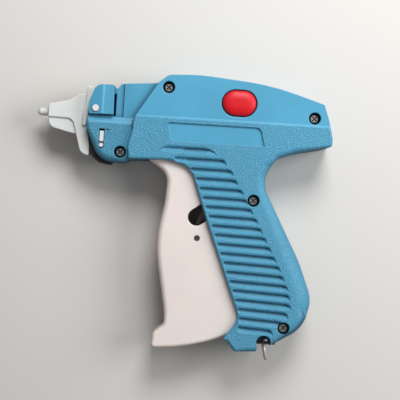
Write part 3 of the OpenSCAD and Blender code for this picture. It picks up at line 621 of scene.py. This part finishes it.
def housing_grain(tree, at):
    """Leathered below the crease, except on the nose's bevel and on the label's floor."""
    x, y, z = add(tree, "ShaderNodeSeparateXYZ", {0: at}).outputs
    below = fade(tree, y, CREASE_Y[0] + 0.15, CREASE_Y[0] - 0.15)
    bevel = times(tree, fade(tree, x, -13.6, -14.2), fade(tree, y, BEVEL_Y[0], BEVEL_Y[0] + 0.4))
    recessed = math(tree, "GREATER_THAN", depth_below_side(tree, z), LABEL_DEPTH * 0.6 * MM)
    floor = times(tree, between(tree, x, *LABEL_AREA[0]), between(tree, y, *LABEL_AREA[1]), recessed)
    return times(tree, below, math(tree, "SUBTRACT", 1.0, bevel), math(tree, "SUBTRACT", 1.0, floor))


def counterbore_shade(tree, at, z):
    """Mask of painted shade on the walls of the screws' counterbores."""
    mask = 0.0
    for (x, y), top in zip(SCREWS, SCREW_TOPS):
        away = add(tree, "ShaderNodeVectorMath", {0: at, 1: (x * MM, y * MM, 0)}, operation="DISTANCE")
        near = fade(tree, away.outputs["Value"], COUNTERBORE + 0.3, COUNTERBORE + 0.1)
        deep = fade(tree, z, MID + top - 0.5, MID + top - 1.6)
        mask = math(tree, "MAXIMUM", mask, times(tree, near, deep))
    return mask


def groove_shade(tree, x, y, z):
    """Mask of painted shade on the grooves' floors; the ribbed field lies between two lines that lean with
    the grip.
    """
    left, right = (math(tree, "ADD", x, times(tree, y, lean)) for lean in FIELD_LEAN)
    field = times(tree, fade(tree, left, 13.5, 14.5), fade(tree, right, 37.5, 36.5), fade(tree, y, 3, 2))
    return times(tree, fade(tree, depth_below_side(tree, z), 1.0, 1.6), field, 0.6)


def housing_painted_shade(tree, at):
    """Painted shade in the screw holes, the grip's grooves and along the foot of the nose's slanted step,
    and a slight painted shade over the nose.
    """
    x, y, z = add(tree, "ShaderNodeSeparateXYZ", {0: at}).outputs
    flat = add(tree, "ShaderNodeCombineXYZ", {0: x, 1: y}).outputs[0]
    upper_nose = times(tree, fade(tree, x, 2, -1), fade(tree, y, 14.5, 15.5))
    # painted shadow along the foot of the nose's slanted step
    step_shadow = times(tree, ramp(tree, occlusion(tree, 3.5, 8), 0.95, 0.5), upper_nose, 0.7)
    # painted shade: the nose a little darker than the body
    nose_shade = times(tree, fade(tree, x, -12, -17), 0.08)
    mask = counterbore_shade(tree, flat, z)
    for other in (step_shadow, groove_shade(tree, x, y, z), nose_shade):
        mask = math(tree, "MAXIMUM", mask, other, clamp=True)
    return mask


BLUE = linear(80, 161, 195)
# less wear and tone, and less painted shade in crevices, than the default
SOFT_FINISH = {"wear": 0.05, "tone": 0.03, "crevice_shading": 0.1}
MATERIALS = {
    "housing_blue": plastic("blue_moulded", BLUE, 0.37, housing_grain, grain_depth=0.22, dark=housing_painted_shade),
    "smooth_blue": plastic("blue_smooth", BLUE, 0.36, wear=0.2),
    "trigger_cream": plastic("cream_moulded", linear(236, 225, 219), 0.42, soft=0.45, **SOFT_FINISH),
    "white_plastic": plastic("white_moulded", linear(226, 228, 225), 0.4, soft=0.2, **SOFT_FINISH),
    "red_plastic": plastic("red_moulded", linear(218, 12, 28), 0.42, specular=0.4, wear=0.08, tone=0.06),
    "black_plastic": plastic("black_moulded", linear(28, 29, 32), 0.48, wear=0.15),
    "grey_plastic": plastic("grey_moulded", linear(140, 142, 145), 0.5),
    "green_plastic": plastic("green_moulded", linear(46, 140, 92), 0.4),
    "steel": metal("steel_bright", linear(205, 205, 202), 0.28, (1, 6, 6)),
    "dark_steel": metal("steel_dark", linear(112, 104, 98), 0.38, (2, 5, 1), 0.4),
    "ring_steel": metal("steel_ring", linear(232, 226, 218), 0.26, (1, 3, 3), 0.35, 0.4),
    "screw_steel": metal("steel_screw", linear(170, 170, 166), 0.38, (3, 3, 1), 0.5, 0.7, 0.9),
}


# ---- housing halves ----

def upper_step(x_low, x_high, bevel, top, drop, steps=6):
    """Cutter that lowers everything above a soft bevel, given by its lower and upper y."""
    y_low, y_high = bevel
    slope = []
    for i in range(steps + 1):
        t = i / steps
        slope.append((y_low + (y_high - y_low) * t, top - drop * (t * t * (3 - 2 * t))))
    slope[0] = (y_low - 0.02, top + 0.02)
    return band([(70, top - drop), (70, top + 3), (y_low - 0.02, top + 3)] + slope, x_low, x_high)


def outer_half():
    nose = dome(NOSE, NOSE_HALF, step=5, groove=SPLIT_GROOVE)
    cut(nose, upper_step(-60, 20, BEVEL_Y, NOSE_HALF, NOSE_DROP, 5))
    cut(nose, box((-60, BEVEL_Y[1] + 0.1, NOSE_HALF - LEVER_RECESS), (LEVER_RECESS_X, 60, FAR)))
    body = dome(BODY, BODY_HALF, step=4, groove=SPLIT_GROOVE)
    cut(body, upper_step(-40, 120, CREASE_Y, BODY_HALF, CREASE_DROP))
    return join(body, nose)


def sweep(path, profile, fades):
    """Cutter of one section along a path on the body's side; a fade of 0 lifts it out of the surface."""
    points = [Vector(p) for p in path]
    last = len(points) - 1
    loops = []
    for i, p in enumerate(points):
        ahead = (points[min(i + 1, last)] - points[max(i - 1, 0)]).normalized()
        across = Vector((-ahead.y, ahead.x))
        loop = []
        for v, z in profile:
            depth = z * fades[i] + 0.12 * (1 - fades[i]) if z < 0.2 else z
            at = p + across * (v * (0.4 + 0.6 * fades[i]))
            loop.append((at.x, at.y, BODY_HALF + depth))
        loops.append(loop)
    return loft(loops)


def groove_cutter(k, y, left, right):
    """One groove: a ratchet section with a quick left end and a slanted tail."""
    if k == 0:
        path = [(1.2, -1.5), (2.6, -0.5), (4.2, 0.3), (6.0, 0.5), (14, 0.5), (25, 0.5), (27.5, 0.1),
                (29.6, -0.9), (31.8, -2.4)]
        return sweep(path, GROOVE_PROFILE, (0, 0.45, 0.85, 1, 1, 1, 0.75, 0.4, 0))
    end = y - tan(radians(0.15 * k)) * (right - left)
    path = [(left - 0.2, y), (left + 0.5, y), (left + 1.2, y)]
    path += [(left + (right - left) * i / 4, y + (end - y) * i / 4) for i in range(1, 4)]
    path += [(right - 0.8, end), (right + 0.2, end - 0.25), (right + 0.9, end - 0.9),
             (right + 1.6, end - 1.8), (right + 2.1, end - 2.6)]
    return sweep(path, GROOVE_PROFILE, (0, 0.85, 1, 1, 1, 1, 1, 1, 0.75, 0.4, 0))


def label_cutter():
    top = BODY_HALF
    return loft([level(rounded(LABEL, 0.25, 8), top - LABEL_DEPTH),
                 level(rounded(LABEL, 0.08, 8), top - LABEL_DEPTH + 0.1),
                 level(rounded(LABEL, -0.05, 8), top - 0.25),
                 level(rounded(LABEL, -0.18, 8), top - 0.07),
                 level(rounded(LABEL, -0.4, 8), top + 0.03),
                 level(rounded(LABEL, -0.4, 8), top + 3)])


def pocket_cutters():
    """The hollow of the body, the trigger's opening and the hollow of the nose, one after another."""
    top = BODY_HALF - WALL
    opening = [(-7.2, 4), (-7.2, -9), (8, -10), (12, -14), (20, -30), (34, -66), (40, -84),
               (36, -95), (30, -112), (60, -112), (60, -80), (50, -50), (30, 4)]
    reach = [polar(TRIGGER_REACH + 1, radians(a)) for a in range(-100, -29, 3)]
    opening_area = prism(opening, -1, top)
    limit = prism(reach + [(120, 20), (-40, 20)], -3, 30)
    combine(opening_area, [limit], "INTERSECT")
    without_rear = BODY[:REAR_CORNER] + BODY[REAR_CORNER + 1:]
    return [
        prism(rounded(BODY, WALL, 12), -1, top - 3.2),
        prism(rounded(without_rear, 5, 12), -1, top),
        opening_area,
        prism(rounded(NOSE, WALL, 12), -1, NOSE_HALF - LEVER_RECESS - 2),
    ]


def bosses(left_side):
    """Bosses and ribs inside a half; they don't touch each other."""
    screw_post = COUNTERBORE + POST_WALL if left_side else SCREW_POST
    out = [rod(at, *boss, BOSS_TOP) for at, boss in ((PIVOT, PIVOT_BOSS), (LEVER_PIVOT, LEVER_BOSS))]
    out += [box(low, high) for low, high in RIBS]
    out += [rod(SCREWS[i], screw_post, 0, BOSS_TOP) for i in (0, 1, 3)]
    out.append(rod(SCREWS[2], screw_post - 0.2, 0, 10))
    return out


def button_hole():
    """Cutter of the button's hole with a rounded rim."""
    length, width = (s + 2 * BUTTON_GAP for s in BUTTON_SIZE)
    low, middle, high = BUTTON_RIM
    section = [(0, 7.6), (0, low), (0.2, middle), (1.4, high), (1.4, 16)]
    return loft([level(stadium(BUTTON_CENTRE, length + g, width + g), z) for g, z in section])


def left_holes():
    """Cutters of the counterbores, the button's hole, the lock pin's hole and the tag slot."""
    left, right, low, high = TAG_SLOT
    out = [drill(s, COUNTERBORE, top - SCREW_SINK, top, 0.55) for s, top in zip(SCREWS, SCREW_TOPS)]
    return out + [button_hole(), rod(LOCK_PIN, LOCK_BORE, 1, FAR),
                  box((left, low, BELOW), (right, high, FAR))]


def right_holes():
    """Cutters of the far half's screw holes and of the feed wheel's bearing."""
    out = [rod(s, SCREW_SHANK + 0.05, BELOW, SCREW_HOLE - top + SCREW_SINK)
           for s, top in zip(SCREWS, SCREW_TOPS)]
    return out + [rod(WHEEL_AXIS, AXLE_BORE, BELOW, 10)]


def window_outline(grow):
    """The index window: square at the top, round at the bottom."""
    left, right, low, top = WINDOW
    r = (right - left) / 2 + grow
    middle = (left + right) / 2
    end = [(middle + r * cos(pi + pi * i / 12), low + r * sin(pi + pi * i / 12)) for i in range(13)]
    return end + [(right + grow, top + grow), (left - grow, top + grow)]


def cut_window(shell):
    """Cuts the index window with its rounded rim and the short slot beside its top."""
    rim = [(0, 4), (0, 10.75), (0.05, 10.9), (0.2, 11.03), (0.2, 15)]
    cut(shell, loft([level(window_outline(grow), z) for grow, z in rim]))
    cut(shell, box((-28.4, 7, 10.5), (-25.7, 8.1, 14)))


def cut_notch(shell, left_side):
    """Cuts the ring's notch, open to the near side and closed by the far half's wall."""
    x, y, radius = NOTCH
    if left_side:
        high = FAR
        cut(shell, drill((x, y), radius, -3, BODY_HALF, 0.3))
    else:
        high = BODY_HALF - WALL
        cut(shell, rod((x, y), radius, -3, high))
    cut(shell, box((x - NOTCH_SIDE, -108, -3), (x + NOTCH_SIDE, y, high)))


def housing_half(left_side):
    """One half with its outside, hollow, bosses and holes, seen with its joint plane down."""
    shell = outer_half()
    cut(shell, sweep(BORDER_PATH, BORDER_PROFILE, (0, 0.8, 1, 1, 1, 1, 1, 0)))
    # neighbouring grooves may overlap, so every second one is cut in a pass of its own
    for first in (0, 1):
        cut(shell, *[groove_cutter(k, *GROOVES[k]) for k in range(first, len(GROOVES), 2)])
    cut(shell, label_cutter())
    for tool in pocket_cutters():
        cut(shell, tool)
    cut(shell, prism(rounded(GUIDE, -0.05, 10), -2, 6.05))
    join(shell, *bosses(left_side))
    join(shell, rod(ANCHOR, *ANCHOR_BOSS, BOSS_TOP))
    if left_side:
        length, width = (s + 2 * (BUTTON_GAP + BUTTON_WALL) for s in BUTTON_SIZE)
        join(shell, prism(stadium(BUTTON_CENTRE, length, width), BUTTON_WALL_LOW, BOSS_TOP))
    pins = [(PIVOT, PIVOT_BORE), (LEVER_PIVOT, LEVER_BORE), (ANCHOR, ANCHOR_BORE)]
    holes = [rod(at, radius, BELOW, BORE_TOP) for at, radius in pins]
    cut(shell, *holes, *(left_holes() if left_side else right_holes()))
    if left_side:
        cut(shell, *[rod(s, SCREW_SHANK + 0.3, BELOW, top - SCREW_SINK + 1)
                     for s, top in zip(SCREWS, SCREW_TOPS)])
        cut_window(shell)
    cut_notch(shell, left_side)
    bar_low, bar_high = RING_BAR[0] - BAR_HALF, RING_BAR[0] + BAR_HALF
    cut(shell, along_x([(BASE_BORE, -42), (BASE_BORE, -22)], NEEDLE_Y),
        along_x([(BAR_BORE, bar_low), (BAR_BORE, bar_high)], RING_BAR[1]))
    return shell


def build_housing():
    place(housing_half(True), "housing_left_shell", "housing", "housing_left", "housing_blue")
    place(housing_half(False), "housing_right_shell", "housing", "housing_right", "housing_blue", side=-1)


# ---- trigger, cap, lock lever and button ----

def trigger_outline():
    toe = [polar(TRIGGER_REACH, radians(-86.5 + 4.5 * i)) + (0.4, 1.7) for i in range(6)]
    return TRIGGER_FRONT + toe + TRIGGER_REAR


def trigger_channel():
    """Outline of the room between the cheeks, open at the rear."""
    points = []
    for before, corner, after in zip(TRIGGER_FRONT, TRIGGER_FRONT[1:5], TRIGGER_FRONT[2:]):
        points += [tuple(p) for p in corner_arc(before, corner, after, TRIGGER_WALL, 10)]
    points += [polar(TRIGGER_REACH - TRIGGER_WALL, radians(a)) for a in (-83, -76, -69, -62, -56, -50)]
    return points + [(40, 10), (8, 16), (2, 6), (-2, 0)]


def trigger_slot():
    """Outline of the slot that clears the lever's boss: a round end, then an arc about the pivot."""
    reach = (LEVER_PIVOT[0] ** 2 + LEVER_PIVOT[1] ** 2) ** 0.5
    start = atan2(LEVER_PIVOT[1], LEVER_PIVOT[0]) - radians(SQUEEZE)
    w = TRIGGER_SLOT_END
    middle = polar(reach, start)
    end = [(middle[0] + w * cos(start + pi + pi * i / 12), middle[1] + w * sin(start + pi + pi * i / 12))
           for i in range(13)]
    turns = [start + radians(SQUEEZE + 8) * i / 8 for i in range(1, 9)]
    return end + [polar(reach + w, a) for a in turns] + [polar(reach - w, a) for a in reversed(turns)]


def build_trigger():
    shape = pillow(trigger_outline(), TRIGGER_HALF, step=5)
    channel = prism(trigger_channel(), -TRIGGER_INSIDE, TRIGGER_INSIDE)
    cut(channel, rod(PIVOT, TRIGGER_HUB, -FAR, FAR))
    cut(shape, channel)
    # the horn that pushes the index link
    join(shape, box((-1.9, 3, TRIGGER_INSIDE - 2), (0.6, 8.4, TRIGGER_INSIDE)))
    slot = trigger_slot()
    rim, chamfer = grown(slot, 0.35), grown(slot, 0.1)
    side = TRIGGER_HALF
    upper = [(slot, side - 0.3), (chamfer, side - 0.1), (rim, side + 0.02), (rim, FAR)]
    lower = [(loop, -z) for loop, z in reversed(upper)]
    cut(shape, loft([level(loop, z) for loop, z in lower + upper]))
    cut(shape, rod(PIVOT, PIVOT_BORE, -FAR, FAR), rod(LINK_PIN, LINK_BORE, -FAR, FAR))
    place(shape, "trigger_shell", "trigger", "trigger", "trigger_cream")


def build_cap():
    plate = pillow(CAP_PLATE, CAP_HALF, step=8, turns=5)
    join(plate, pillow(CAP_WEB, CAP_WEB_HALF, step=8, turns=5))
    join(plate, pillow(CAP_FLANGE, CAP_FLANGE_HALF, step=8, turns=5))
    r = CAP_TIP
    tip = [(0.001, CAP_TIP_X)]
    tip += [(r * sin(radians(a)), CAP_TIP_X + r * (1 - cos(radians(a)))) for a in range(12, 91, 13)]
    join(plate, along_x(tip + [(r, -60.5), (r + 0.02, -55.4)], NEEDLE_Y, steps=48))
    cut(plate, along_x([(CAP_NEEDLE_BORE, -61), (CAP_NEEDLE_BORE, -40)], NEEDLE_Y))
    cut(plate, along_x([(CAP_SPIGOT_BORE, -41.5), (CAP_SPIGOT_BORE, -34)], NEEDLE_Y))
    place(plate, "needle_cap_shell", "needle_cap", "needle_cap", "white_plastic")


def build_lock():
    low, top = LOCK_LOW, LOCK_LOW + LOCK_THICKNESS
    lever = dome(LOCK, LOCK_THICKNESS, step=5, turns=6)
    lever.data.transform(Matrix.Translation((0, 0, low * MM)))
    # a ridge: the left facet falls away to the nose's side, the right part lies a step lower
    section = [(-38, top - 1.2), (-30.6, top + 0.01), (-30, top + 0.01), (-29, top - 0.42),
               (-20, top - 0.42), (-20, top + 4), (-38, top + 4)]
    cut(lever, loft([[(x, y, z) for x, z in section] for y in (60, 0)]))
    join(lever, rod(LOCK_PIN, *LOCK_BOSS, low + 0.6))
    cut(lever, drill(LOCK_PIN, LOCK_LEVER_BORE, 5, top - 0.5, 0.25))
    place(lever, "lock_lever_plate", "lock_lever", "lock_lever", "smooth_blue")


def build_button():
    length, width = BUTTON_SIZE
    section = [(0.15, 10.4), (0, 10.6), (0, BUTTON_SIDE_TOP)]  # inset, height
    for k in range(1, 13):
        t = radians(90 * k / 12)
        section.append((BUTTON_CROWN_INSET * (1 - cos(t)),
                        BUTTON_SIDE_TOP + BUTTON_CROWN * sin(t) ** 0.75))
    button = loft([level(stadium(BUTTON_CENTRE, length - 2 * d, width - 2 * d), z) for d, z in section])
    join(button, rod(BUTTON_CENTRE, BUTTON_STEM, 5.4, 11))
    place(button, "side_button_dome", "side_button", "side_button", "red_plastic", sharp=50)


NODE_SLOTS = {
    "housing_screws": "screw_steel", "trigger_pivot_pin": "steel", "trigger_link_pin": "dark_steel",
    "drive_lever": "dark_steel", "lever_pivot_pin": "steel", "slide_carriage": "white_plastic",
    "push_rod": "steel", "rod_guide": "grey_plastic", "return_spring": "steel",
    "spring_anchor_pin": "steel", "needle": "steel", "needle_base": "green_plastic",
    "knife_blade": "steel", "nose_guide": "black_plastic", "feed_wheel": "white_plastic",
    "feed_wheel_axle": "steel", "index_link": "steel", "index_slider": "white_plastic",
    "index_dot": "white_plastic", "lock_shaft": "white_plastic", "button_spring": "steel",
    "button_clip": "steel", "hang_ring": "ring_steel", "ring_bar": "dark_steel"}
EDGE_WIDTHS = {"lock_shaft": 0.3, "index_slider": 0.25, "index_dot": 0.3, "trigger_link_pin": 0.2}


def dress_cad_nodes():
    """Gives every CAD node that stays its material, softened edges and smooth shading."""
    for name, slot in NODE_SLOTS.items():
        obj = cad[name]
        obj.data.materials.clear()
        obj.data.materials.append(MATERIALS[slot])
        weld = obj.modifiers.new("weld", "WELD")
        weld.merge_threshold = 0.000002
        bevel = obj.modifiers.new("bevel", "BEVEL")
        bevel.width = EDGE_WIDTHS.get(name, 0.12) * MM
        bevel.segments = 2
        bevel.limit_method = "ANGLE"
        bevel.angle_limit = radians(40)
        smooth = obj.modifiers.new("normals", "WEIGHTED_NORMAL")
        smooth.keep_sharp = True


# ---- floor, light and camera, in metres ----

FLOOR_COLOUR = linear(218, 215, 210)
FLOOR_BOUNCE = linear(160, 130, 104)
FLOOR_HALF = 3.0
FLOOR_Z = -0.0002
LOOK_AT = (0.02, -0.03, 0.014)
CAMERA_AT = (0.024, -0.026, 0.534)
CAMERA_TURN = 3.63  # degrees about the line of sight


def build_floor():
    """Pale paper; other surfaces get less light back from it than the camera does."""
    mesh = bpy.data.meshes.new("floor")
    r = FLOOR_HALF
    mesh.from_pydata([(x, y, FLOOR_Z) for x, y in ((-r, -r), (r, -r), (r, r), (-r, r))], [], [(0, 1, 2, 3)])
    floor = bpy.data.objects.new("floor", mesh)
    bpy.context.scene.collection.objects.link(floor)
    material = bpy.data.materials.new("floor_paper")
    material.use_nodes = True
    tree = material.node_tree
    shader = tree.nodes["Principled BSDF"]
    seen = add(tree, "ShaderNodeLightPath").outputs["Is Camera Ray"]
    tree.links.new(blend(tree, seen, FLOOR_BOUNCE, FLOOR_COLOUR), shader.inputs["Base Color"])
    shader.inputs["Roughness"].default_value = 0.8
    shader.inputs["Specular IOR Level"].default_value = 0.1
    mesh.materials.append(material)


def add_area(name, azimuth, elevation, distance, size, power):
    """A round soft lamp aimed at the tool from a direction given in degrees."""
    light = bpy.data.lights.new(name, "AREA")
    light.shape = "DISK"
    light.size = size
    light.energy = power
    obj = bpy.data.objects.new(name, light)
    bpy.context.scene.collection.objects.link(obj)
    a, e = radians(azimuth), radians(elevation)
    away = Vector((cos(a) * cos(e), sin(a) * cos(e), sin(e))) * distance
    obj.location = Vector(LOOK_AT) + away
    obj.rotation_euler = away.to_track_quat("Z", "Y").to_euler()


def build_lights():
    add_area("key", azimuth=78, elevation=44, distance=0.62, size=0.3, power=2.9)
    add_area("side", azimuth=14, elevation=35, distance=0.85, size=0.5, power=4.1)
    world = bpy.data.worlds.new("studio")
    bpy.context.scene.world = world
    world.use_nodes = True
    background = world.node_tree.nodes["Background"]
    background.inputs[0].default_value = (0.92, 0.95, 1.0, 1)
    background.inputs[1].default_value = 0.24


def build_camera():
    camera = bpy.data.cameras.new("camera")
    camera.sensor_width = 36
    camera.lens = 87.5
    camera.clip_start = 0.01
    obj = bpy.data.objects.new("camera", camera)
    obj.location = CAMERA_AT
    obj.rotation_euler = (0, 0, radians(CAMERA_TURN))
    bpy.context.scene.collection.objects.link(obj)
    bpy.context.scene.camera = obj


bpy.context.scene.view_settings.view_transform = "Standard"
build_housing()
build_trigger()
build_cap()
build_lock()
build_button()
dress_cad_nodes()
build_floor()
build_lights()
build_camera()
